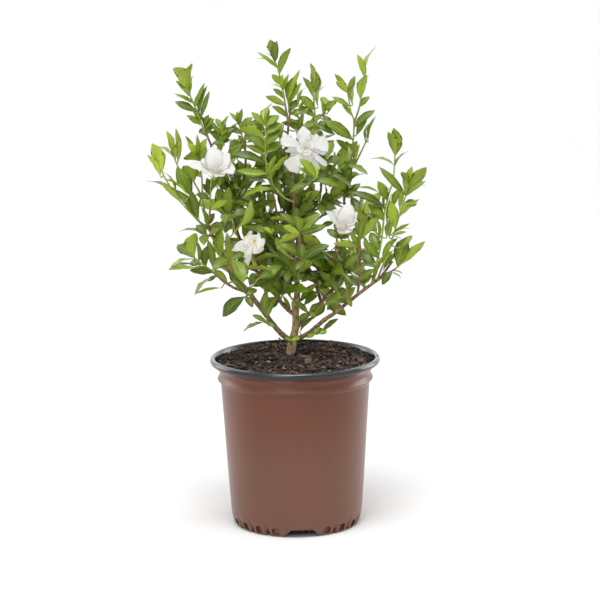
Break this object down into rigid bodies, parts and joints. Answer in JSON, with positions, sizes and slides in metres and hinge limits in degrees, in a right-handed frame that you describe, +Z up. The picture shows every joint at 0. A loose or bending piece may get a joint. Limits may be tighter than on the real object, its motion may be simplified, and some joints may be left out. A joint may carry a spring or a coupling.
{
  "type": "potted gardenia",
  "caption": "Small woody gardenia bush with glossy pointed leaves in pairs and white double flowers, growing in a tapered round nursery pot with a rolled rim.",
  "frame": {"origin": "middle of the pot's flat underside, on the surface it stands on", "axes": "+Z up along the pot's axis, -Y towards the side that the picture shows, +X to the right of that view"},
  "size_m": [0.3683, 0.2672, 0.656],
  "materials": {
    "pot": "satin moulded plastic, black inside and on the lip",
    "soil": "loose dark potting mix with pale flecks",
    "bark": "grey brown bark",
    "foliage": "glossy dark green above, pale and dull below",
    "petal": "soft creamy white",
    "stamen": "orange yellow anthers"
  },
  "bodies": {
    "root": {"pot": "pot", "potting_mix": "soil", "woody_frame": "bark", "top_left_shoot": "foliage", "top_right_shoot": "foliage", "upper_left_shoot": "foliage", "upper_inner_shoot": "foliage", "far_left_shoot": "foliage", "left_tall_shoot": "foliage", "left_bloom_shoot": "foliage", "left_inner_shoot": "foliage", "low_left_shoot": "foliage", "left_side_shoot": "foliage", "left_front_shoot": "foliage", "left_low_front_shoot": "foliage", "left_lowest_shoot": "foliage", "low_bloom_shoot": "foliage", "low_centre_shoot": "foliage", "centre_shoot": "foliage", "centre_low_shoot": "foliage", "centre_left_shoot": "foliage", "centre_upper_shoot": "foliage", "big_bloom_shoot": "foliage", "bright_front_shoot": "foliage", "bloom_side_shoot": "foliage", "behind_bloom_shoot": "foliage", "right_bloom_shoot": "foliage", "low_right_centre_shoot": "foliage", "trunk_shoot": "foliage", "right_lowest_shoot": "foliage", "trunk_sprout": "foliage", "right_low_shoot": "foliage", "right_front_shoot": "foliage", "right_end_shoot": "foliage", "right_tall_shoot": "foliage", "right_long_shoot": "foliage", "upper_right_shoot": "foliage", "rear_low_left_shoot": "foliage", "rear_left_shoot": "foliage", "rear_upper_left_shoot": "foliage", "rear_top_left_shoot": "foliage", "rear_top_shoot": "foliage", "rear_centre_shoot": "foliage", "rear_right_shoot": "foliage", "rear_upper_right_shoot": "foliage", "rear_low_right_shoot": "foliage", "rear_low_shoot": "foliage", "rear_lowest_shoot": "foliage", "rear_side_shoot": "foliage", "big_bloom_petals": "petal", "big_bloom_stamens": "stamen", "left_bloom_petals": "petal", "left_bloom_stamens": "stamen", "right_bloom_petals": "petal", "right_bloom_stamens": "stamen", "low_bloom_petals": "petal", "low_bloom_stamens": "stamen"}
  },
  "joints": []
}
